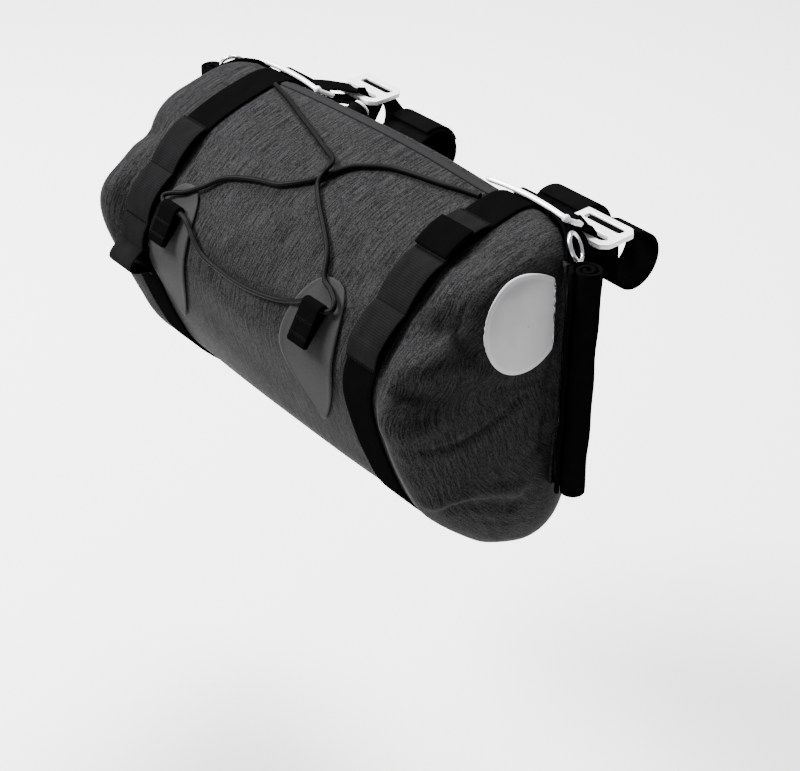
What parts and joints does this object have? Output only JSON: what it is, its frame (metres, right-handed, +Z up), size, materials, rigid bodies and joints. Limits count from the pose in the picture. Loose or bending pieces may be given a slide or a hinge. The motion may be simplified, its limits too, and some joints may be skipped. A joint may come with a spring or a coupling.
{
  "type": "bicycle handlebar bag",
  "caption": "Tube-shaped coated-fabric bag with both ends rolled shut, straps and hook buckles that hang it under a handlebar, and an elastic cord crossed on its front.",
  "frame": {"origin": "on the handlebar's axis, at the middle of the bag's length", "axes": "+X along the handlebar and the bag's length, -Y to the front of the bag, +Z up"},
  "size_m": [0.3688, 0.2061, 0.2334],
  "materials": {
    "bag_cloth": "coated heather weave, satin",
    "webbing": "flat woven webbing, matt",
    "ribbed_webbing": "ribbed woven webbing, matt",
    "white_metal": "white gloss coat on cast metal",
    "wire_metal": "bright bent wire",
    "foam": "closed-cell foam, matt",
    "light_patch": "reflective film, satin",
    "weld_patch": "welded fabric, satin",
    "elastic_cord": "braided elastic cord",
    "snap_white": "gloss"
  },
  "bodies": {
    "root": {"bag_shell": "bag_cloth", "top_welt": "weld_patch", "bungee_cord": "elastic_cord", "snap_base": "foam", "snap_cap": "snap_white", "strap_right": "webbing", "strap_left": "webbing", "daisy_right": "ribbed_webbing", "daisy_left": "ribbed_webbing", "frame_right": "white_metal", "frame_left": "white_metal", "frame_tab_right": "webbing", "frame_tab_left": "webbing", "link_right": "webbing", "link_left": "webbing", "buckle_right": "white_metal", "buckle_left": "white_metal", "bar_loop_right": "webbing", "bar_loop_left": "webbing", "bar_strap_right": "webbing", "bar_strap_left": "webbing", "bar_pad_right": "foam", "bar_pad_left": "foam", "roll_right": "bag_cloth", "roll_left": "bag_cloth", "end_strap_right": "webbing", "end_strap_left": "webbing", "end_ring_right": "wire_metal", "end_ring_left": "wire_metal", "end_patch_right": "light_patch", "end_patch_left": "light_patch", "anchor_right": "webbing", "anchor_left": "webbing", "anchor_patch_right": "weld_patch", "anchor_patch_left": "weld_patch"}
  },
  "joints": []
}
